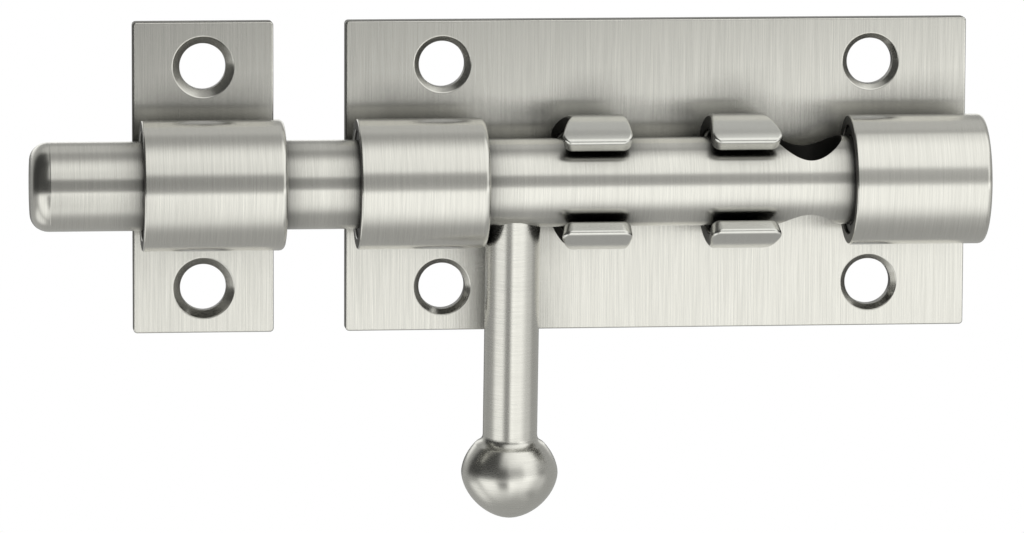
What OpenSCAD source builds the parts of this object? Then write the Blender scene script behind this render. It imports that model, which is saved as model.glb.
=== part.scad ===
// Surface slide bolt with a padlock hole, and its keeper for the frame.
// The back of the plates lies on the door at y = 0, the bolt points to -x and the handle hangs to -z.

/* [Main plate] */
// Length of the main plate along the bolt
plate_l = 100; // [80:0.5:160]
// Height of the main plate
plate_h = 49.8; // [40:0.1:80]
// Thickness of both plates
plate_t = 3; // [2:0.1:5]
// Radius of the plate corners
plate_corner_r = 0.6; // [0.2:0.1:4]
// Distance between the screw holes along the bolt
screw_dx = 69; // [40:0.5:130]
// Distance between the screw holes up the plate
screw_dz = 35.7; // [26:0.1:60]
// Diameter of the screw holes
screw_d = 7.4; // [3:0.1:9]
// Diameter of the countersink at the face of the main plate
screw_sink_d = 9.1; // [4:0.1:14]

/* [Keeper] */
// Width of the keeper plate
keeper_l = 22.4; // [16:0.1:40]
// Height of the keeper plate
keeper_h = 49.8; // [40:0.1:80]
// Gap between the keeper plate and the main plate
keeper_gap = 11.5; // [2:0.1:40]
// Distance between the two keeper screw holes
keeper_screw_dz = 35.4; // [26:0.1:60]
// Diameter of the countersink at the face of the keeper plate
keeper_sink_d = 9.8; // [4:0.1:14]
// Length of the keeper tube
keeper_tube_l = 22.5; // [12:0.1:40]
// How far the keeper tube stands past the right edge of its plate
keeper_tube_over = 0.9; // [0:0.1:6]

/* [Guide tubes] */
// Height of the bolt axis above the face of the plates
axis_h = 10.2; // [9.8:0.05:20]
// Outer diameter of the guide tubes
tube_od = 20.7; // [18:0.1:40]
// Wall of the guide tubes
tube_wall = 1.75; // [1.2:0.05:4]
// Inset of the front tube from the left edge of the main plate
front_tube_in = 0.9; // [0:0.1:8]
// Length of the rear tube
rear_tube_l = 21.7; // [12:0.1:40]
// How far the rear tube stands past the right edge of the main plate
rear_tube_over = 1.1; // [0:0.1:6]
// Rounding of the right edge of each tube
tube_round = 0.9; // [0.2:0.05:1.5]

/* [Bushes] */
// How far each bush sits back from both ends of its tube
bush_recess = 0.4; // [0.2:0.1:3]
// Clearance between a bush and its tube, on the radius
bush_fit = 0.05; // [0.02:0.01:0.1]
// Clearance between a bush and the bolt, on the radius
bolt_fit = 0.06; // [0.02:0.01:0.1]

/* [Bolt] */
// Diameter of the bolt
bolt_d = 14.1; // [12:0.1:30]
// How far the bolt stands past the left edge of the keeper plate
bolt_out = 16.8; // [4:0.1:40]
// How far the rear end of the bolt stays inside the rear tube
bolt_rear_in = 4.6; // [1:0.1:12]
// Length of the round nose at the tip
tip_l = 3; // [1:0.1:6]
// Height of the round nose at the tip
tip_h = 2.7; // [1:0.1:5]
// Diameter of the padlock hole
lock_d = 11; // [5:0.1:11.4]
// Distance from the handle to the padlock hole
lock_dx = 46.8; // [30:0.1:120]

/* [Handle] */
// Clearance between the handle and the end of the front tube
handle_gap = 0.2; // [0.1:0.05:1]
// Distance from the left edge of the main plate to the middle of the handle
handle_in = 25.9; // [20:0.1:60]
// Diameter of the handle shank
shank_d = 8.7; // [6:0.1:12]
// Distance from the bolt axis to the middle of the knob
reach = 47.5; // [30:0.1:90]
// Diameter of the knob
knob_d = 15.5; // [12:0.1:30]
// Height of the knob's round form along the handle
knob_h = 15; // [12:0.1:30]
// Fullness of the knob: 2 is a ball, and less is nearer to a double cone
knob_full = 1.76; // [1.5:0.01:2.2]
// Diameter of the tenons at both ends of the shank
tenon_d = 6; // [4:0.1:7]
// How far the shank tenon goes past the bolt axis
tenon_past = 2; // [0:0.1:4]
// How far the shank goes into the knob
knob_grip = 7; // [4:0.1:10]
// Clearance around the tenons, on the radius
tenon_fit = 0.02; // [0.01:0.01:0.1]
// Gap between the knob and the door
knob_gap = 0.3; // [0.1:0.05:2]

/* [Gates] */
// Inner radius of the gate clips
gate_r = 8; // [7.5:0.05:16]
// Thickness of the gate clips
gate_t = 2.7; // [1.5:0.05:4]
// Width of each gate clip along the bolt
gate_w = 11.5; // [8:0.1:30]
// Gap between the two gate clips
gate_gap = 12.4; // [10:0.1:40]
// Middle of the pair of clips, from the middle of the main plate
gate_mid = 0.4; // [-10:0.1:10]
// Opening of the clips, as the angle from straight out to each tip
gate_open = 42; // [35:1:70]
// Depth of the waist in the outer end of each clip
gate_waist = 2.3; // [0:0.1:4]
// Depth of the waist in the inner end of each clip
gate_waist_in = 0.6; // [0:0.1:2]
// Half height of the waist
gate_waist_h = 7; // [4:0.1:9]
// Corner radius of the tips
gate_tip_r = 1.8; // [0.3:0.1:3]

/* [Hidden] */
$fn = 96;
axis_y = -plate_t - axis_h;
plate_left = -plate_l/2;
plate_right = plate_l/2;
keeper_right = plate_left - keeper_gap;
keeper_left = keeper_right - keeper_l;
keeper_mid = (keeper_left + keeper_right)/2;
handle_x = plate_left + handle_in;
front_tube_x = plate_left + front_tube_in;
front_tube_l = handle_x - shank_d/2 - handle_gap - front_tube_x;
rear_tube_x = plate_right + rear_tube_over - rear_tube_l;
keeper_tube_x = keeper_right + keeper_tube_over - keeper_tube_l;
bolt_tip = keeper_left - bolt_out;
bolt_end = plate_right + rear_tube_over - bolt_rear_in;
bolt_r = bolt_d/2;
tube_r = tube_od/2;
bore_r = tube_r - tube_wall;
lock_x = handle_x + lock_dx;
knob_r = knob_d/2;
knob_from = pow(1 - pow(shank_d/knob_d, knob_full), 1/knob_full);
shank_end = reach - knob_from*knob_h/2;
lean = asin((plate_t + axis_h - knob_r - knob_gap)/reach);
steel = [0.74, 0.74, 0.71];
dark = [0.09, 0.09, 0.10];
eps = 0.01;

// A flat shape drawn in x and z, standing on the door and as thick as the plates
module flat_plate() {
  rotate([90, 0, 0]) linear_extrude(plate_t) children();
}

// A rectangle with round corners
module round_rect(l, h, r) {
  square([l - 2*r, h], center = true);
  square([l, h - 2*r], center = true);
  for (x = [-1, 1], y = [-1, 1]) translate([x*(l/2 - r), y*(h/2 - r)]) circle(r);
}

// A screw hole through a plate, with its countersink at the face
module screw_hole(x, z, sink) {
  translate([x, 1, z]) rotate([90, 0, 0]) cylinder(d = screw_d, h = plate_t + 2);
  deep = (sink - screw_d)/2;
  translate([x, -plate_t + deep, z]) rotate([90, 0, 0]) cylinder(d1 = screw_d, d2 = sink, h = deep);
  translate([x, -plate_t, z]) rotate([90, 0, 0]) cylinder(d = sink, h = 1);
}

// Places children at the bolt axis, with their z along x
module on_axis(x) {
  translate([x, axis_y, 0]) rotate([0, 90, 0]) children();
}

// Radius of the knob at a share of its half height
function knob_at(s) = knob_r*pow(max(1 - pow(abs(s), knob_full), 0), 1/knob_full);

// Everything behind the face of the plates
module behind_face() {
  translate([-200, -plate_t, -60]) cube([400, 40, 120]);
}

// A guide tube with a flat seat for the plate
module guide_tube(x, l) {
  r = tube_round;
  difference() {
    on_axis(x) rotate_extrude() polygon([
      [bore_r, 0], [tube_r - 0.3, 0], [tube_r, 0.3], [tube_r, l - r],
      [tube_r - r*(1 - cos(30)), l - r*(1 - sin(30))], [tube_r - r*(1 - cos(60)), l - r*(1 - sin(60))],
      [tube_r - r, l], [bore_r, l]]);
    behind_face();
  }
}

// A bush between a tube and the bolt
module bush(x, l) {
  on_axis(x + bush_recess) difference() {
    cylinder(r = bore_r - bush_fit, h = l - 2*bush_recess);
    translate([0, 0, -1]) cylinder(r = bolt_r + bolt_fit, h = l + 2);
  }
}

// Places children along the handle, with their z pointing down the handle from the bolt axis
module along_handle(x) {
  translate([x, axis_y, 0]) rotate([180 + lean, 0, 0]) children();
}

// A gate clip whose outer end is at x = 0 and whose width runs to +x
module gate() {
  out_r = gate_r + gate_t;
  reach_r = out_r*1.6;
  difference() {
    on_axis(0) cylinder(r = out_r, h = gate_w);
    on_axis(-1) cylinder(r = gate_r, h = gate_w + 2);
    translate([-1, axis_y, 0]) rotate([90, 0, 90]) linear_extrude(gate_w + 2) polygon([
      [0, 0], [-reach_r*cos(gate_open), -reach_r*sin(gate_open)], [-reach_r*1.2, 0],
      [-reach_r*cos(gate_open), reach_r*sin(gate_open)]]);
    translate([0, axis_y, -out_r - 1]) linear_extrude(2*out_r + 2) polygon([
      [-1, -gate_waist_h], [0, -gate_waist_h], [gate_waist, 0], [0, gate_waist_h], [-1, gate_waist_h]]);
    translate([gate_w, axis_y, -out_r - 1]) linear_extrude(2*out_r + 2) polygon([
      [1, -gate_waist_h], [0, -gate_waist_h], [-gate_waist_in, 0], [0, gate_waist_h], [1, gate_waist_h]]);
    for (up = [0, 1]) mirror([0, 0, up]) translate([0, axis_y, 0]) rotate([90 - gate_open, 0, 0])
      for (e = [0, 1]) translate([e*gate_w, 0, 0]) mirror([e, 0, 0]) tip_corner();
    behind_face();
  }
}

// What is cut from a tip corner to round it
module tip_corner() {
  r = gate_tip_r;
  translate([0, 0, gate_r - 1]) linear_extrude(gate_t + 2) difference() {
    translate([-1, -1]) square(r + 1);
    translate([r, r]) circle(r);
  }
}

module main_plate() color(steel) difference() {
  flat_plate() round_rect(plate_l, plate_h, plate_corner_r);
  for (x = [-1, 1], z = [-1, 1]) screw_hole(x*screw_dx/2, z*screw_dz/2, screw_sink_d);
}

module front_tube() color(steel) guide_tube(front_tube_x, front_tube_l);

module rear_tube() color(steel) guide_tube(rear_tube_x, rear_tube_l);

module front_gate() color(steel) translate([gate_mid - gate_gap/2 - gate_w, 0, 0]) gate();

module rear_gate() color(steel) translate([gate_mid + gate_gap/2 + gate_w, 0, 0]) mirror([1, 0, 0]) gate();

module keeper_plate() color(steel) difference() {
  translate([keeper_mid, 0, 0]) flat_plate() round_rect(keeper_l, keeper_h, plate_corner_r);
  for (z = [-1, 1]) screw_hole(keeper_mid, z*keeper_screw_dz/2, keeper_sink_d);
}

module keeper_tube() color(steel) guide_tube(keeper_tube_x, keeper_tube_l);

module front_bush() color(dark) bush(front_tube_x, front_tube_l);

module rear_bush() color(dark) bush(rear_tube_x, rear_tube_l);

module keeper_bush() color(dark) bush(keeper_tube_x, keeper_tube_l);

module bolt_rod() color(steel) difference() {
  on_axis(bolt_tip) rotate_extrude() polygon(concat(
    [[0, 0]], [for (a = [0:15:90]) [bolt_r - tip_h*(1 - sin(a)), tip_l*(1 - cos(a))]],
    [[bolt_r, bolt_end - bolt_tip - 0.6], [bolt_r - 0.6, bolt_end - bolt_tip], [0, bolt_end - bolt_tip]]));
  along_handle(handle_x) translate([0, 0, -tenon_past]) cylinder(d = tenon_d + 2*tenon_fit, h = bolt_d);
  along_handle(lock_x) translate([0, 0, -bolt_d]) cylinder(d = lock_d, h = 2*bolt_d);
}

module handle_shank() color(steel) difference() {
  along_handle(handle_x) {
    translate([0, 0, -tenon_past]) cylinder(d = tenon_d, h = shank_end + knob_grip + tenon_past);
    difference() {
      cylinder(d = shank_d, h = shank_end);
      rotate([0, 90, 0]) translate([0, 0, -bolt_d]) difference() {
        cylinder(r = bolt_r, h = 2*bolt_d);
        rotate([0, -90, 0]) translate([bolt_d, 0, -1]) cylinder(d = tenon_d, h = bolt_d);
      }
    }
  }
}

module handle_knob() color(steel) along_handle(handle_x) difference() {
  rotate_extrude() polygon(concat([[0, shank_end]],
    [for (i = [0:14]) let(s = sin(-asin(knob_from) + i/14*(90 + asin(knob_from)))) [knob_at(s), reach + s*knob_h/2]]));
  translate([0, 0, shank_end - 1]) cylinder(d = tenon_d + 2*tenon_fit, h = knob_grip + 1.2);
}

main_plate();
front_tube();
rear_tube();
front_gate();
rear_gate();
keeper_plate();
keeper_tube();
front_bush();
rear_bush();
keeper_bush();
bolt_rod();
handle_shank();
handle_knob();
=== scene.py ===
import math

import bmesh
import bpy
from mathutils import Matrix, Quaternion, Vector


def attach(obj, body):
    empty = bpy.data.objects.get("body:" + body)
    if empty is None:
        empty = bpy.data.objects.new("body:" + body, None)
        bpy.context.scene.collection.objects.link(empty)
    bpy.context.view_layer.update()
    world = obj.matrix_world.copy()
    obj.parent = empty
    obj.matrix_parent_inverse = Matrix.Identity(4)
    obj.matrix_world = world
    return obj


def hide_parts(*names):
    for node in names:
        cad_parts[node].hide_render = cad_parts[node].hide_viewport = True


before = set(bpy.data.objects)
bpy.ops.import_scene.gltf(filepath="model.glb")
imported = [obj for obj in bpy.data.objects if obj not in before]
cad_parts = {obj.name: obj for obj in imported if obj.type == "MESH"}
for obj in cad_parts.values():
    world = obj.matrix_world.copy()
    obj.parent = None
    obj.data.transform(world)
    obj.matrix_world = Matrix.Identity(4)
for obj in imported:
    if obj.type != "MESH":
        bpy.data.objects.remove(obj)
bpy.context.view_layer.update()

MM = 0.001

# Sizes of the slide bolt in millimetres. The backs of the plates lie on the door at y = 0.
PLATE_T = 3.0
PLATE = {"mid": 0.0, "length": 100.0, "height": 49.8, "sink_d": 9.1,
         "holes": [(x, z) for x in (-34.5, 34.5) for z in (-17.85, 17.85)]}
KEEPER = {"mid": -72.7, "length": 22.4, "height": 49.8, "sink_d": 9.8,
          "holes": [(-72.7, z) for z in (-17.7, 17.7)]}
SCREW_D = 7.4
PLATE_CORNER_R = 0.6
PLATE_EDGE_R = 0.28

# Each tube is its left end and its length.
TUBE_R = 10.35
BORE_R = 8.6
TUBES = {"front_tube": (-49.1, 20.45), "rear_tube": (29.4, 21.7), "keeper_tube": (-83.1, 22.5)}
BUSH_RECESS = 0.4
BUSH_PLAY_IN = 0.06
BUSH_PLAY_OUT = 0.05

# The bolt and its padlock hole.
AXIS_Y = -13.2
BOLT_R = 7.05
BOLT_TIP = -100.7
BOLT_END = 46.5
TIP_L = 3.0
TIP_H = 2.7
LOCK_X = 22.7
LOCK_R = 5.5

# The handle leans back until the knob is a small gap away from the door.
HANDLE_X = -24.1
SHANK_R = 4.35
SHANK_START = 5.2
REACH = 47.5
KNOB_R = 7.75
KNOB_HALF_H = 7.5
KNOB_SHY = 0.03
KNOB_FULL = 1.76
DOOR_GAP = 0.3
LEAN = math.asin((-AXIS_Y - KNOB_R - DOOR_GAP) / REACH)
KNOB_FROM = (1 - (SHANK_R / KNOB_R) ** KNOB_FULL) ** (1 / KNOB_FULL)
SHANK_END = REACH - KNOB_FROM * KNOB_HALF_H

# Each gate is the end with the waist and the way that its width runs from there.
GATE_R = 8.0
GATE_T = 2.7
GATE_W = 11.5
GATE_OPEN = math.radians(42)
GATES = {"front_gate": (-17.3, 1), "rear_gate": (18.1, -1)}
GATE_WAIST = 2.3
GATE_WAIST_IN = 0.6
GATE_WAIST_H = 7.0
GATE_EDGE_R = 0.6
GATE_TIP_R = 1.8

# The four corners of a rectangle: the side of each and the degrees at which its quarter turn starts.
QUARTERS = ((1, 1, 0), (-1, 1, 90), (-1, -1, 180), (1, -1, 270))


def linear(code):
    """An sRGB hex colour as the linear colour that the shader wants."""
    parts = [int(code[i:i + 2], 16) / 255 for i in (1, 3, 5)]
    return [c / 12.92 if c <= 0.04045 else ((c + 0.055) / 1.055) ** 2.4 for c in parts] + [1.0]


def add(tree, kind, settings=None, **links):
    """Adds a node with its settings; a link is socket_name=(node, output) or a plain value."""
    node = tree.nodes.new(kind)
    for key, value in (settings or {}).items():
        setattr(node, key, value)
    for key, value in links.items():
        spot = int(key[1:]) if key[0] == "i" and key[1:].isdigit() else key.replace("_", " ")
        socket = node.inputs[spot]
        if isinstance(value, tuple) and len(value) == 2 and isinstance(value[0], bpy.types.Node):
            tree.links.new(value[0].outputs[value[1]], socket)
        else:
            socket.default_value = value
    return node


# Camera: a long lens from the left and above, as in the photograph. Its focal length is in pixels.
CAM_AT = Vector((-138.372, -1074.691, 129.264)) * MM
CAM_TO = Vector((-23.242, -3.0, -14.764)) * MM
CAM_ROLL = math.radians(0.201)
FOCAL_PX = 6786.26
IMAGE_W = 1024
SENSOR_W = 36
cam_data = bpy.data.cameras.new("camera")
cam_data.lens = FOCAL_PX / IMAGE_W * SENSOR_W
cam_data.sensor_width = SENSOR_W
cam_data.clip_end = 20
camera = bpy.data.objects.new("camera", cam_data)
bpy.context.collection.objects.link(camera)
camera.location = CAM_AT
camera.rotation_mode = "QUATERNION"
camera.rotation_quaternion = (CAM_TO - CAM_AT).to_track_quat("-Z", "Y") @ Quaternion((0, 0, 1), CAM_ROLL)
bpy.context.scene.camera = camera

# The scratches are a fine noise with a share of wider bands in it. Their sum stays between LOW and HIGH.
BAND_SCALE = 3.3
BAND_SHARE = 0.15
LOW = 0.3
HIGH = 0.85
GLOSS_SPREAD = 0.12


def brushed(name, colour, streak=0.17, run=9.0, rough=0.26, depth=0.004, across=0.8, grain="x", tilt=0.0,
            contrast=0.08, reach=8.0, corner=(0.25, 0.92, 0.25), sag=0.0):
    """Stainless steel brushed along one way, with fine scratches in its tone, gloss and height.

    streak, run and depth are a scratch's width, length and depth in millimetres. grain is the axis across
    the scratches, and tilt turns it about x. Bare steel mirrors the dark nooks beside it, and this is drawn
    as painted shade: ambient occlusion darkens the colour wherever a neighbour is within reach millimetres.
    corner gives the open share at which the painted shade is darkest, the share at which the steel is
    bright, and the tone of the darkest painted shade. sag turns the side that has to be open downwards, so
    that the painted shade above a part is darker than below it.
    """
    mat = bpy.data.materials.new(name)
    mat.use_nodes = True
    tree = mat.node_tree
    tree.nodes.clear()
    where = add(tree, "ShaderNodeTexCoord")
    size = [streak * MM if axis == grain else run * MM for axis in "xyz"]
    noises = []
    for scale, detail, fray in ((size, 3.0, 0.65), ([c * BAND_SCALE for c in size], 2.0, 0.5)):
        laid = add(tree, "ShaderNodeMapping", {"vector_type": "TEXTURE"},
                   Vector=(where, "Object"), Rotation=(tilt, 0, 0), Scale=scale)
        noises.append(add(tree, "ShaderNodeTexNoise",
                          Vector=(laid, "Vector"), Scale=1.0, Detail=detail, Roughness=fray))
    lines, bands = noises
    both = add(tree, "ShaderNodeMath", {"operation": "MULTIPLY_ADD"},
               i0=(bands, "Fac"), i1=BAND_SHARE, i2=(lines, "Fac"))
    tone = add(tree, "ShaderNodeMapRange", i0=(both, 0), i1=LOW, i2=HIGH, i3=0.0, i4=1.0)
    mix = add(tree, "ShaderNodeMix", {"data_type": "RGBA"}, Factor=(tone, 0))
    mix.inputs[6].default_value = [c * (1 - contrast) for c in linear(colour)[:3]] + [1.0]
    mix.inputs[7].default_value = [min(c * (1 + contrast), 1.0) for c in linear(colour)[:3]] + [1.0]
    # Painted shade: the colour is darkened where ambient occlusion finds other parts near, more above a part
    # than below.
    face = add(tree, "ShaderNodeNewGeometry")
    open_way = add(tree, "ShaderNodeVectorMath", {"operation": "ADD"}, i0=(face, "Normal"), i1=(0, 0, -sag))
    near = add(tree, "ShaderNodeAmbientOcclusion", {"samples": 8},
               Distance=reach * MM, Normal=(open_way, "Vector"))
    shade = add(tree, "ShaderNodeMapRange", i0=(near, "AO"), i1=corner[0], i2=corner[1], i3=corner[2], i4=1.0)
    colour_with_painted_shade = add(tree, "ShaderNodeVectorMath", {"operation": "SCALE"}, i0=(mix, 2), Scale=(shade, 0))
    gloss = add(tree, "ShaderNodeMapRange", i0=(both, 0), i1=LOW, i2=HIGH,
                i3=rough * (1 + GLOSS_SPREAD), i4=rough * (1 - GLOSS_SPREAD))
    bump = add(tree, "ShaderNodeBump", Strength=1.0, Distance=depth * MM, Height=(both, 0))
    run_way = add(tree, "ShaderNodeTangent", {"direction_type": "UV_MAP", "uv_map": "grain"})
    shader = add(tree, "ShaderNodeBsdfPrincipled", Metallic=1.0, Anisotropic=across)
    tree.links.new(colour_with_painted_shade.outputs[0], shader.inputs["Base Color"])
    tree.links.new(gloss.outputs[0], shader.inputs["Roughness"])
    tree.links.new(bump.outputs["Normal"], shader.inputs["Normal"])
    tree.links.new(run_way.outputs["Tangent"], shader.inputs["Tangent"])
    out = add(tree, "ShaderNodeOutputMaterial")
    tree.links.new(shader.outputs["BSDF"], out.inputs["Surface"])
    return mat


def black_nylon():
    """Moulded black nylon: a dark, half dull plastic with a mould grain of about 0.4 mm."""
    mat = bpy.data.materials.new("black_nylon")
    mat.use_nodes = True
    tree = mat.node_tree
    tree.nodes.clear()
    where = add(tree, "ShaderNodeTexCoord")
    grain = add(tree, "ShaderNodeTexNoise", Vector=(where, "Object"), Scale=2600.0, Detail=2.0)
    bump = add(tree, "ShaderNodeBump", Strength=0.6, Distance=0.02 * MM, Height=(grain, "Fac"))
    gloss = add(tree, "ShaderNodeMapRange", i0=(grain, "Fac"), i1=0.3, i2=0.7, i3=0.42, i4=0.56)
    shader = add(tree, "ShaderNodeBsdfPrincipled", IOR=1.53, Base_Color=linear("#0C0C0C"))
    tree.links.new(gloss.outputs[0], shader.inputs["Roughness"])
    tree.links.new(bump.outputs["Normal"], shader.inputs["Normal"])
    out = add(tree, "ShaderNodeOutputMaterial")
    tree.links.new(shader.outputs["BSDF"], out.inputs["Surface"])
    return mat


# Real brushing leaves scratches 0.02 to 0.05 mm apart. They are drawn 0.13 to 0.3 mm apart, about as wide
# as a pixel, so that they show.
STEEL = "#D6D5D0"
# Stainless sheet, brushed upright on a belt: long fine stripes, and highlights drawn out sideways. Painted
# shade lies darker above the tubes and gates than below them.
PLATE_STEEL = brushed("stainless_plate_brushed_upright", STEEL, streak=0.15, run=12.0, rough=0.25, depth=0.007,
                      across=0.95, contrast=0.12, reach=9.5, corner=(0.20, 0.885, 0.24), sag=0.45)
# Stainless tube, brushed round: every light in the room becomes a band along the tube.
TUBE_STEEL = brushed("stainless_tube_brushed_round", STEEL, streak=0.13, rough=0.24, across=0.6,
                     contrast=0.09, reach=14.0, corner=(0.25, 0.92, 0.3))
# Round stainless bar, brushed round like the tubes: the same bands, and painted shade in dark patches beside
# the gates.
BOLT_STEEL = brushed("stainless_bar_brushed_round", STEEL, streak=0.13, run=8.0, rough=0.24, across=0.6,
                     contrast=0.09, reach=6.0, corner=(0.5, 0.97, 0.34))
# Drilled steel, left rough and deep in shade: a dull dark grey, its colour darkened as painted shade.
BORE_STEEL = brushed("stainless_drilled_painted_shade", "#8A8986", streak=0.3, run=0.3, rough=0.4, across=0.0,
                     reach=14.0, corner=(0.2, 0.95, 0.2))
# Turned stainless rod and knob, brushed round: upright bands on the shank, soft patches on the knob.
HANDLE_STEEL = brushed("stainless_handle_brushed_round", STEEL, streak=0.17, run=5.0, grain="z", tilt=LEAN,
                       across=0.5, contrast=0.07, corner=(0.0, 0.75, 0.6))
# Bent stainless strip, rubbed to satin: an even light grey with clear highlights on its edges.
CLIP_STEEL = brushed("stainless_strip_satin", "#D6D6D2", streak=0.2, run=3.0, rough=0.24, depth=0.0006,
                     across=0.2, contrast=0.03, reach=12.0, corner=(0.2, 0.97, 0.42))
# Sawn and sheared steel: coarse, and darker than the brushed faces beside it; the darker colour is partly
# painted shade on these ends and sides.
CUT_STEEL = brushed("stainless_cut_end_painted_shade", "#83827F", streak=0.2, run=0.4, rough=0.5, across=0.0,
                    reach=12.0, corner=(0.45, 0.98, 0.1))
# Countersink, turned smooth: bright where it faces the light and dark on the other side.
SINK_STEEL = brushed("stainless_turned_countersink", STEEL, streak=0.2, run=1.0, rough=0.22, across=0.0,
                     contrast=0.05, corner=(0.0, 0.7, 0.6))
NYLON = black_nylon()


def rounded(corners, steps=5):
    """Rounds the corners (a, b, radius) of an open line and gives each point (a, b) with its normal."""
    out = []
    for i, (a, b, radius) in enumerate(corners):
        here = Vector((a, b))
        before = here - Vector(corners[i - 1][:2]) if i else None
        after = Vector(corners[i + 1][:2]) - here if i + 1 < len(corners) else None
        if before is None or after is None:
            way = (before if before is not None else after).normalized()
            out.append((here, Vector((way.y, -way.x))))
            continue
        before.normalize()
        after.normalize()
        first = Vector((before.y, -before.x))
        turn = before.x * after.y - before.y * after.x
        side = 1 if turn > 0 else -1
        angle = math.acos(max(-1, min(1, before.dot(after))))
        start = here - before * radius * math.tan(angle / 2)
        centre = start - first * radius * side
        for k in range(steps + 1):
            t = k / steps * angle * side
            n = Vector((first.x * math.cos(t) - first.y * math.sin(t),
                        first.x * math.sin(t) + first.y * math.cos(t)))
            out.append((centre + n * radius * side, n))
    return out


def mesh_object(name, verts, faces, normals, uv_of, material, place=None):
    """Makes a piece from points in millimetres, with its own normals and its grain direction."""
    mesh = bpy.data.meshes.new(name)
    if place is not None:
        turn = place.to_3x3()
        verts = [(place @ Vector(v))[:] for v in verts]
        normals = [(turn @ Vector(n))[:] for n in normals]
    mesh.from_pydata([[c * MM for c in v] for v in verts], [], faces)
    mesh.validate()
    layer = mesh.uv_layers.new(name="grain")
    for poly in mesh.polygons:
        poly.use_smooth = True
        for loop, value in zip(poly.loop_indices, uv_of(poly)):
            layer.data[loop].uv = value
    mesh.normals_split_custom_set_from_vertices(normals)
    mesh.materials.append(material)
    piece = bpy.data.objects.new(name, mesh)
    bpy.context.collection.objects.link(piece)
    return piece


def other_finishes(piece, materials, choose):
    """Adds finishes to a piece; choose(centre, normal) says which one a face has, and 0 is its first."""
    for material in materials:
        piece.data.materials.append(material)
    for poly in piece.data.polygons:
        poly.material_index = choose(poly.center / MM, poly.normal)


def sawn(centre, normal):
    """Which faces were sawn: those that look along the bolt. They take the darker cut finish, which is partly
    painted shade.
    """
    return int(abs(normal.x) > 0.94)


def lathe(name, profile, material, place, closed, segments=144, flat_at=None):
    """Turns a profile (radius, height) round the local z. flat_at cuts a flat seat square to local y."""
    verts, normals, rings = [], [], []
    for point, normal in profile:
        r, z = point
        if r < 1e-6:
            rings.append([len(verts)])
            verts.append((0, 0, z))
            normals.append((0, 0, math.copysign(1, normal.y)))
            continue
        ring = []
        for k in range(segments):
            a = 2 * math.pi * k / segments
            x, y = r * math.cos(a), r * math.sin(a)
            if flat_at is not None and y > flat_at:
                y = flat_at
            ring.append(len(verts))
            verts.append((x, y, z))
            normals.append((normal.x * math.cos(a), normal.x * math.sin(a), normal.y))
        rings.append(ring)
    run = [0.0]
    for (p, _), (q, _) in zip(profile, profile[1:]):
        run.append(run[-1] + (q - p).length)
    faces, marks = [], []
    pairs = list(zip(range(len(rings) - 1), range(1, len(rings))))
    if closed:
        pairs.append((len(rings) - 1, 0))
    for i, j in pairs:
        low, high = rings[i], rings[j]
        u0, u1 = run[i], run[j] if j else run[i] + 0.5
        for k in range(segments):
            m = (k + 1) % segments
            v0, v1 = k / segments, (k + 1) / segments
            if len(low) == 1 and len(high) == 1:
                continue
            if len(low) == 1:
                faces.append((low[0], high[m], high[k]))
                marks.append([(u0, v0), (u1, v1), (u1, v0)])
            elif len(high) == 1:
                faces.append((low[k], low[m], high[0]))
                marks.append([(u0, v0), (u0, v1), (u1, v0)])
            else:
                faces.append((low[k], low[m], high[m], high[k]))
                marks.append([(u0, v0), (u0, v1), (u1, v1), (u1, v0)])
    return mesh_object(name, verts, faces, normals, lambda poly: marks[poly.index], material, place)


def on_axis(x):
    """Local z along the bolt, starting at x."""
    return Matrix.Translation((x, AXIS_Y, 0)) @ Matrix.Rotation(math.pi / 2, 4, "Y")


def along_handle(x):
    """Local z down the handle, starting at the bolt axis."""
    return Matrix.Translation((x, AXIS_Y, 0)) @ Matrix.Rotation(math.pi + LEAN, 4, "X")


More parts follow.
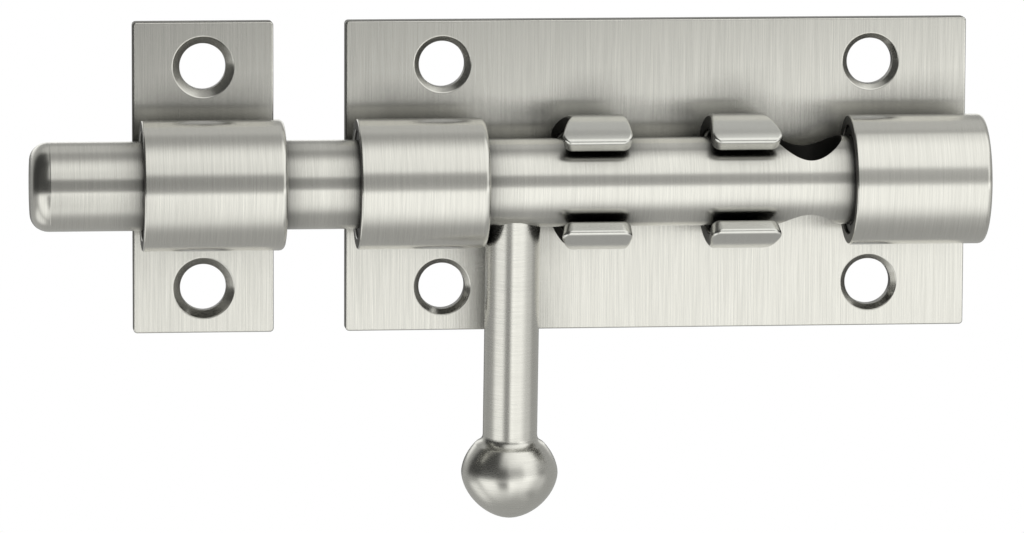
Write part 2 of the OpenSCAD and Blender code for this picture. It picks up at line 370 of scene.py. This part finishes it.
def plate(name, spec, corner_steps=6, hole_steps=72, uv_size=50):
    """A plate with softened edges, sheared sides and countersunk screw holes."""
    half_l, half_h, soft = spec["length"] / 2, spec["height"] / 2, PLATE_EDGE_R
    edge = rounded([(-soft - 1, -PLATE_T, 0), (0, -PLATE_T, soft), (0, 0, soft), (-soft - 1, 0, 0)], 4)[1:-1]
    sink_r, screw_r = spec["sink_d"] / 2, SCREW_D / 2
    deep = sink_r - screw_r
    # The bore from the back rim over the throat to the rim of the countersink, each a little rounded.
    bore = rounded([(screw_r + 1, 0, 0), (screw_r, 0, 0.2), (screw_r, -PLATE_T + deep, 0.25),
                    (sink_r, -PLATE_T, 0.32), (sink_r + 1, -PLATE_T, 0)], 4)[1:-1]
    verts, normals, faces = [], [], []

    def ring(points, ways):
        start = len(verts)
        verts.extend(points)
        normals.extend(ways)
        return list(range(start, start + len(points)))

    outer = []
    for point, normal in edge:
        inset, y = point
        pts, ways = [], []
        for sx, sz, a0 in QUARTERS:
            for k in range(corner_steps + 1):
                a = math.radians(a0 + 90 * k / corner_steps)
                r = PLATE_CORNER_R + inset
                pts.append((spec["mid"] + sx * (half_l - PLATE_CORNER_R) + r * math.cos(a), y,
                            sz * (half_h - PLATE_CORNER_R) + r * math.sin(a)))
                ways.append((normal.x * math.cos(a), normal.y, normal.x * math.sin(a)))
        outer.append(ring(pts, ways))
    chains = [outer]
    angles = [2 * math.pi * k / hole_steps for k in range(hole_steps)]
    for x, z in spec["holes"]:
        hole = []
        for point, normal in bore:
            r, y = point
            hole.append(ring([(x + r * math.cos(a), y, z + r * math.sin(a)) for a in angles],
                             [(normal.x * math.cos(a), normal.y, normal.x * math.sin(a)) for a in angles]))
        chains.append(hole)
    for chain in chains:
        for low, high in zip(chain, chain[1:]):
            n = len(low)
            faces.extend((low[k], low[(k + 1) % n], high[(k + 1) % n], high[k]) for k in range(n))
    bm = bmesh.new()
    points = [bm.verts.new(v) for v in verts]
    for face in faces:
        bm.faces.new([points[i] for i in face])
    front = [chains[0][0]] + [chain[-1] for chain in chains[1:]]
    back = [chains[0][-1]] + [chain[0] for chain in chains[1:]]
    for loops, way in ((front, -1), (back, 1)):
        edges = []
        for loop in loops:
            for a, b in zip(loop, loop[1:] + loop[:1]):
                edges.append(bm.edges.get((points[a], points[b])))
        bmesh.ops.triangle_fill(bm, use_beauty=True, use_dissolve=False, edges=edges, normal=(0, way, 0))
    bmesh.ops.recalc_face_normals(bm, faces=bm.faces)
    bm.verts.index_update()
    faces = [[v.index for v in f.verts] for f in bm.faces]
    bm.free()

    def grain_uv(poly):
        return [(verts[v][0] / uv_size, verts[v][2] / uv_size) for v in poly.vertices]

    # The screw bores and the sheared sides take darker finishes, whose colour is partly painted shade.
    def finish(centre, normal):
        turned = any(math.hypot(centre.x - x, centre.z - z) < sink_r + 0.1 for x, z in spec["holes"])
        if turned and abs(normal.y) < 0.99:
            return 2 if centre.y > -PLATE_T + deep else 1
        return 3 if not turned and abs(normal.y) < 0.8 else 0

    board = mesh_object(name, verts, faces, normals, grain_uv, PLATE_STEEL)
    other_finishes(board, [SINK_STEEL, BORE_STEEL, CUT_STEEL], finish)
    return board


def tube(name, start, length):
    """A guide tube: a cut end with a small break at the left, a rounded edge at the right."""
    profile = rounded([(BORE_R, length / 2, 0), (BORE_R, 0, 0.22), (TUBE_R, 0, 0.3),
                       (TUBE_R, length, 0.9), (BORE_R, length, 0.22), (BORE_R, length / 2, 0)], 5)[1:-1]
    pipe = lathe(name, profile, TUBE_STEEL, on_axis(start), True, flat_at=-PLATE_T - AXIS_Y)
    other_finishes(pipe, [CUT_STEEL], sawn)
    return pipe


def bush(name, start, length):
    """A black bush, set back a little from both ends of its tube."""
    inner, outer = BOLT_R + BUSH_PLAY_IN, BORE_R - BUSH_PLAY_OUT
    end = length - 2 * BUSH_RECESS
    profile = rounded([(inner, end / 2, 0), (inner, 0, 0.2), (outer, 0, 0.1), (outer, end, 0.1),
                       (inner, end, 0.2), (inner, end / 2, 0)], 3)[1:-1]
    return lathe(name, profile, NYLON, on_axis(start + BUSH_RECESS), True)


def gate(name, outer_end, way, edge_steps=4, tip_steps=8, bend_steps=120, uv_size=10):
    """A C-shaped strip round the bolt, with a waist in its outer end and rounded tips."""
    edge, tip = GATE_EDGE_R, GATE_TIP_R
    r_in, r_out = GATE_R, GATE_R + GATE_T
    r_mid = (r_in + r_out) / 2

    def limits(y):
        share = max(0.0, 1 - abs(y) / GATE_WAIST_H)
        return GATE_WAIST * share, GATE_W - GATE_WAIST_IN * share

    def rounding(radius, depth):
        return radius - math.sqrt(max(radius ** 2 - (radius - depth) ** 2, 0)) if depth < radius else 0.0

    steps = [0.0]
    steps += [edge * (1 - math.cos(math.pi / 2 * k / edge_steps)) for k in range(1, edge_steps + 1)]
    steps += [edge + (tip - edge) * k / tip_steps for k in range(1, tip_steps + 1)]
    total = r_mid * (2 * math.pi - 2 * GATE_OPEN)
    middle = [tip + (total - 2 * tip) * k / bend_steps for k in range(1, bend_steps)]
    spots = steps + middle + [total - s for s in reversed(steps)]
    verts, rings = [], []
    for spot in spots:
        near = min(spot, total - spot)
        angle = GATE_OPEN + spot / r_mid
        thin = rounding(edge, near)
        narrow = rounding(tip, near)
        soft = max(edge - thin, 0.02)
        loop = []
        for side, top, a0 in QUARTERS:
            for k in range(edge_steps + 1):
                a = math.radians(a0 + 90 * k / edge_steps)
                r = (r_out - thin - soft if top > 0 else r_in + thin + soft) + soft * math.sin(a)
                low, high = limits(-r * math.cos(angle))
                x = (high - narrow - soft if side > 0 else low + narrow + soft) + soft * math.cos(a)
                y = min(AXIS_Y - r * math.cos(angle), -PLATE_T)
                loop.append(len(verts))
                verts.append((outer_end + way * x, y, r * math.sin(angle)))
        rings.append(loop)
    bm = bmesh.new()
    points = [bm.verts.new(v) for v in verts]
    for low, high in zip(rings, rings[1:]):
        n = len(low)
        for k in range(n):
            bm.faces.new([points[i] for i in (low[k], low[(k + 1) % n], high[(k + 1) % n], high[k])])
    bm.faces.new([points[i] for i in rings[0]])
    bm.faces.new([points[i] for i in rings[-1]])
    bmesh.ops.recalc_face_normals(bm, faces=bm.faces)
    bm.verts.index_update()
    normals = []
    for v in bm.verts:
        mean = Vector((0, 0, 0))
        for f in v.link_faces:
            mean += f.normal * f.calc_area()
        normals.append(mean.normalized()[:])
    faces = [[v.index for v in f.verts] for f in bm.faces]
    bm.free()

    def grain_uv(poly):
        return [(verts[v][0] / uv_size, math.atan2(verts[v][2], verts[v][1] - AXIS_Y)) for v in poly.vertices]

    clip = mesh_object(name, verts, faces, normals, grain_uv, CLIP_STEEL)
    other_finishes(clip, [CUT_STEEL], sawn)
    return clip


def bolt_rod(nose_steps=12, nose_rim=0.12, lag=0.12):
    """The bar, with its round nose, a fine rim behind the nose and the padlock hole through it.

    lag, in radians, holds the nose's normals back a little, as if it were blunter than its outline.
    """
    length = BOLT_END - BOLT_TIP
    nose = [(Vector((0, 0)), Vector((0, -1))), (Vector((BOLT_R - TIP_H, 0)), Vector((0, -1)))]
    for k in range(1, nose_steps + 1):
        a = math.radians(90 * k / nose_steps)
        normal = Vector((math.sin(a - lag) / TIP_H, -math.cos(a - lag) / TIP_L)).normalized()
        nose.append((Vector((BOLT_R - TIP_H * (1 - math.sin(a)), TIP_L * (1 - math.cos(a)))), normal))
    nose.append((Vector((BOLT_R, TIP_L + nose_rim)), Vector((0.8, -0.6))))
    body = rounded([(BOLT_R, TIP_L + nose_rim + 0.04, 0), (BOLT_R, length, 0.6), (0, length, 0)], 5)
    rod = lathe("bolt_rod_brushed", nose + body, BOLT_STEEL, on_axis(BOLT_TIP), False)
    cutter_profile = rounded([(0, -20, 0), (LOCK_R, -20, 0.1), (LOCK_R, 20, 0.1), (0, 20, 0)], 1)
    cutter = lathe("cutter", cutter_profile, BOLT_STEEL, along_handle(LOCK_X), False, segments=96)
    cut = rod.modifiers.new("padlock_hole", "BOOLEAN")
    cut.object = cutter
    cut.operation = "DIFFERENCE"
    cut.solver = "EXACT"
    done = bpy.data.meshes.new_from_object(rod.evaluated_get(bpy.context.evaluated_depsgraph_get()))
    rod.modifiers.clear()
    rod.data = done
    bpy.data.objects.remove(cutter)

    # The cut leaves no normals, so each face gets those of the hole, the nose or the bar again.
    to_hole = along_handle(LOCK_X).inverted()
    from_hole = to_hole.inverted().to_3x3()
    to_bar = on_axis(BOLT_TIP).inverted()
    from_bar = to_bar.inverted().to_3x3()
    # The wall of the padlock hole takes the drilled finish, whose dark colour is painted shade.
    done.materials.clear()
    done.materials.append(BOLT_STEEL)
    done.materials.append(BORE_STEEL)
    ways = [None] * len(done.loops)
    for poly in done.polygons:
        poly.use_smooth = True
        middle = to_hole @ (poly.center / MM)
        along = abs((to_hole.to_3x3() @ poly.normal).z)
        in_hole = abs(math.hypot(middle.x, middle.y) - LOCK_R) < 0.06 and along < 0.3
        poly.material_index = int(in_hole)
        height = (to_bar @ (poly.center / MM)).z
        if height < TIP_L + nose_rim:
            near = nose
        elif height > length - 0.7:
            near = body[1:]
        else:
            near = body[:1]
        for i in poly.loop_indices:
            co = done.vertices[done.loops[i].vertex_index].co / MM
            if in_hole:
                p = to_hole @ co
                ways[i] = from_hole @ Vector((-p.x, -p.y, 0)).normalized()
                continue
            if height < 1e-3 or height > length - 1e-3:
                ways[i] = from_bar @ Vector((0, 0, math.copysign(1, height - 1)))
                continue
            p = to_bar @ co
            r = math.hypot(p.x, p.y)
            n = min(near, key=lambda q: abs(q[0].y - p.z) + abs(q[0].x - r))[1]
            ways[i] = from_bar @ Vector((n.x * p.x / r, n.x * p.y / r, n.y))
    done.normals_split_custom_set([w[:] for w in ways])
    return rod


def shank():
    """The round rod of the handle, from inside the bolt to the knob."""
    end = SHANK_END + 0.02
    profile = rounded([(0, SHANK_START, 0), (SHANK_R, SHANK_START, 0.2), (SHANK_R, end, 0.12), (0, end, 0)], 4)
    return lathe("handle_shank_brushed", profile, HANDLE_STEEL, along_handle(HANDLE_X), False)


def knob(steps=80, bend_steps=8):
    """The knob, between a ball and a double cone, with a small soft neck where the shank enters."""
    neck_h, neck_w = 1.5, 0.9
    first = math.asin(KNOB_FROM) - 0.2
    line = []
    for k in range(steps + 1):
        share = math.sin(-first + k / steps * (math.pi / 2 + first))
        full = max(1 - abs(share) ** KNOB_FULL, 0) ** (1 / KNOB_FULL)
        line.append(Vector(((KNOB_R - KNOB_SHY) * full, REACH + share * (KNOB_HALF_H - KNOB_SHY))))
    start, target = Vector((SHANK_R + 0.01, line[0].y - neck_h)), line[0]
    middle = Vector((SHANK_R + 0.01, line[0].y - neck_h + neck_w))
    shares = [k / bend_steps for k in range(bend_steps)]
    bend = [(1 - t) ** 2 * start + 2 * t * (1 - t) * middle + t * t * target for t in shares]
    line = bend + line
    profile = []
    for i, point in enumerate(line):
        way = line[min(i + 1, len(line) - 1)] - line[max(i - 1, 0)]
        profile.append((point, Vector((way.y, -way.x)).normalized()))
    profile[-1] = (line[-1], Vector((0, 1)))
    lid = [(Vector((r, line[0].y)), Vector((0, -1))) for r in (0, SHANK_R - 0.2)]
    return lathe("handle_knob_brushed", lid + profile, HANDLE_STEEL, along_handle(HANDLE_X), False)


pieces = {}
for name, spec in (("main_plate", PLATE), ("keeper_plate", KEEPER)):
    pieces[name] = plate(name + "_brushed", spec)
for name, (start, length) in TUBES.items():
    pieces[name] = tube(name + "_brushed", start, length)
    bush_name = name.replace("_tube", "_bush")
    pieces[bush_name] = bush(bush_name + "_black", start, length)
for name, (end, way) in GATES.items():
    pieces[name] = gate(name + "_satin", end, way)
pieces["bolt_rod"] = bolt_rod()
pieces["handle_shank"] = shank()
pieces["handle_knob"] = knob()

# What each kind of piece rides on, and the slot of its finish.
KINDS = {"plate": ("base", "brushed_plate"), "tube": ("base", "brushed_tube"), "gate": ("base", "brushed_clip"),
         "bush": ("bushes", "black_nylon"), "rod": ("bolt", "brushed_bolt"), "shank": ("bolt", "brushed_bolt"),
         "knob": ("bolt", "brushed_bolt")}
for name, piece in pieces.items():
    body, slot = KINDS[name.split("_")[-1]]
    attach(piece, body)
    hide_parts(name)


def white_to_camera(tree, other, kind, output):
    """White where the camera or the steel sees it, and the other shader for all other light."""
    ray = add(tree, "ShaderNodeLightPath")
    seen = add(tree, "ShaderNodeMath", {"operation": "MAXIMUM"},
               i0=(ray, "Is Camera Ray"), i1=(ray, "Is Glossy Ray"))
    seen = add(tree, "ShaderNodeMath", {"operation": "MAXIMUM"},
               i0=(seen, 0), i1=(ray, "Is Transmission Ray"))
    glow = add(tree, kind, Color=linear("#FFFFFF"), Strength=1.0)
    blend = add(tree, "ShaderNodeMixShader", i0=(seen, 0), i1=(other, 0), i2=(glow, 0))
    add(tree, output, Surface=(blend, 0))


def sheet(name, verts, faces, material):
    """A piece of the studio, in metres, that isn't part of the bolt."""
    mesh = bpy.data.meshes.new(name)
    mesh.from_pydata(verts, [], faces)
    mesh.materials.append(material)
    thing = bpy.data.objects.new(name, mesh)
    bpy.context.collection.objects.link(thing)
    return thing


# Floor: plain and pale, below the light tent, in metres.
FLOOR_Z = -0.55
FLOOR_HALF = 6
paper = bpy.data.materials.new("white_paper")
paper.use_nodes = True
paper.node_tree.nodes.clear()
flat = add(paper.node_tree, "ShaderNodeBsdfDiffuse", Color=linear("#F2F2F0"))
white_to_camera(paper.node_tree, flat, "ShaderNodeEmission", "ShaderNodeOutputMaterial")
sheet("floor", [(sx * FLOOR_HALF, sy * FLOOR_HALF, FLOOR_Z) for sx, sy in ((-1, -1), (1, -1), (1, 1), (-1, 1))],
      [(0, 1, 2, 3)], paper)

world = bpy.data.worlds.new("studio")
bpy.context.scene.world = world
world.use_nodes = True
world.node_tree.nodes.clear()
room = add(world.node_tree, "ShaderNodeBackground", Color=linear("#FFFFFF"), Strength=0.6)
white_to_camera(world.node_tree, room, "ShaderNodeBackground", "ShaderNodeOutputWorld")

# Light tent: soft cloth round the bolt, with soft panels behind it. The camera looks in through it.
# A point of the cloth has a height above the bolt and a heading from the front, both in degrees.
TENT_R = 0.5
TENT_AT = (-0.02, AXIS_Y * MM, 0)
CLOTH_LEVEL = 0.43
CLOTH_DARKEST = 0.05
cloth = bpy.data.materials.new("tent_cloth")
cloth.use_nodes = True
tree = cloth.node_tree
tree.nodes.clear()
where = add(tree, "ShaderNodeTexCoord")
way = add(tree, "ShaderNodeVectorMath", {"operation": "NORMALIZE"}, i0=(where, "Object"))
split = add(tree, "ShaderNodeSeparateXYZ", Vector=(way, 0))
rise = add(tree, "ShaderNodeMath", {"operation": "ARCSINE"}, i0=(split, "Z"))
rise = add(tree, "ShaderNodeMath", {"operation": "DEGREES"}, i0=(rise, 0))
ahead = add(tree, "ShaderNodeMath", {"operation": "MULTIPLY"}, i0=(split, "Y"), i1=-1.0)
turn = add(tree, "ShaderNodeMath", {"operation": "ARCTAN2"}, i0=(split, "X"), i1=(ahead, 0))
turn = add(tree, "ShaderNodeMath", {"operation": "DEGREES"}, i0=(turn, 0))


def panel(strength, bottom, top, left, right, slope=0.0):
    """A soft panel of light. Each edge is its place and its fade in degrees, and slope tilts the panel."""
    bank = add(tree, "ShaderNodeMapRange", i0=(turn, 0), i1=-10.0, i2=25.0, i3=10 * slope, i4=-25 * slope)
    height = add(tree, "ShaderNodeMath", {"operation": "ADD"}, i0=(rise, 0), i1=(bank, 0))
    windows = []
    for value, edges in ((height, (bottom, top)), (turn, (left, right))):
        steps = []
        for edge, fade in edges:
            steps.append(add(tree, "ShaderNodeMapRange", {"interpolation_type": "SMOOTHSTEP"},
                             i0=(value, 0), i1=edge - fade / 2, i2=edge + fade / 2, i3=0.0, i4=1.0))
        windows.append(add(tree, "ShaderNodeMath", {"operation": "SUBTRACT"},
                           i0=(steps[0], 0), i1=(steps[1], 0)))
    area = add(tree, "ShaderNodeMath", {"operation": "MULTIPLY"}, i0=(windows[0], 0), i1=(windows[1], 0))
    return add(tree, "ShaderNodeMath", {"operation": "MULTIPLY"}, i0=(area, 0), i1=strength)


# Strength, then the bottom, top, left and right edge. A strength under 0 is a dark card.
panels = [
    # Above, with more of it to the right: the light upper half of the tubes and the bolt.
    panel(0.62, (25, 9), (77, 31), (-30, 24), (105, 20)),
    panel(0.12, (25, 9), (77, 31), (0, 30), (105, 20)),
    # Low in front: the light lower half. The gap between the two is the dark band along the middle.
    panel(0.83, (-60, 46), (-6.5, 5), (-84, 24), (88, 20), slope=0.22),
    # In front and to the right: the tone of the main plate, and more light on the rear tube.
    panel(0.07, (-60, 46), (-6.5, 5), (-4, 10), (10, 14), slope=0.22),
    panel(0.12, (-8, 3), (4, 8), (2, 12), (19, 10)),
    panel(0.08, (10, 10), (80, 10), (16, 20), (88, 20)),
    # Dark cards on the left: the stripe on the shank, and the dark patches on the knob and the nose.
    panel(-0.97, (-50, 24), (-13, 10), (-37, 18), (-9, 12)),
    panel(-0.36, (-10, 8), (44, 14), (-88, 20), (-10, 12)),
    panel(-0.36, (42, 8), (66, 16), (-125, 20), (-38, 16)),
    # A dark card on the right: the shaded right side of the shank and the knob.
    panel(-0.55, (-60, 10), (4, 10), (50, 34), (88, 20)),
    # Far left, light below and dark above: the nose and the left rim of the knob.
    panel(0.60, (-60, 20), (-26, 10), (-125, 20), (-94, 12)),
    panel(-0.38, (-8, 8), (44, 14), (-125, 20), (-82, 12)),
    # Narrow in front, and on the right: a light stripe on the shank and the light upper right of the knob.
    panel(0.14, (-60, 30), (-7, 3), (-10, 8), (3, 8)),
    panel(0.60, (-9, 6), (26, 9), (30, 14), (66, 20)),
]
# Pairs behind the bolt, left and right: the tops of the gates, tubes and bolt mirror them.
for strength, bottom, top, side in ((0.75, (1, 6), (17, 10), 145),
                                    (0.18, (42, 12), (74, 12), 120),
                                    (-0.33, (-16, 8), (1, 4), 160)):
    panels.append(panel(strength, bottom, top, (side, 20), (200, 20)))
    panels.append(panel(strength, bottom, top, (-200, 20), (-side, 20)))
level = add(tree, "ShaderNodeMath", {"operation": "ADD"}, i0=(panels[0], 0), i1=CLOTH_LEVEL)
for light in panels[1:]:
    level = add(tree, "ShaderNodeMath", {"operation": "ADD"}, i0=(level, 0), i1=(light, 0))
level = add(tree, "ShaderNodeMath", {"operation": "MAXIMUM"}, i0=(level, 0), i1=CLOTH_DARKEST)
glow = add(tree, "ShaderNodeEmission", Color=linear("#FFFFFB"), Strength=(level, 0))
add(tree, "ShaderNodeOutputMaterial", Surface=(glow, 0))
dome = bmesh.new()
bmesh.ops.create_uvsphere(dome, u_segments=64, v_segments=32, radius=TENT_R)
tent = sheet("light_tent", [v.co[:] for v in dome.verts],
             [[v.index for v in f.verts] for f in dome.faces], cloth)
dome.free()
tent.location = TENT_AT
tent.visible_camera = False

bpy.context.scene.view_settings.view_transform = "Standard"
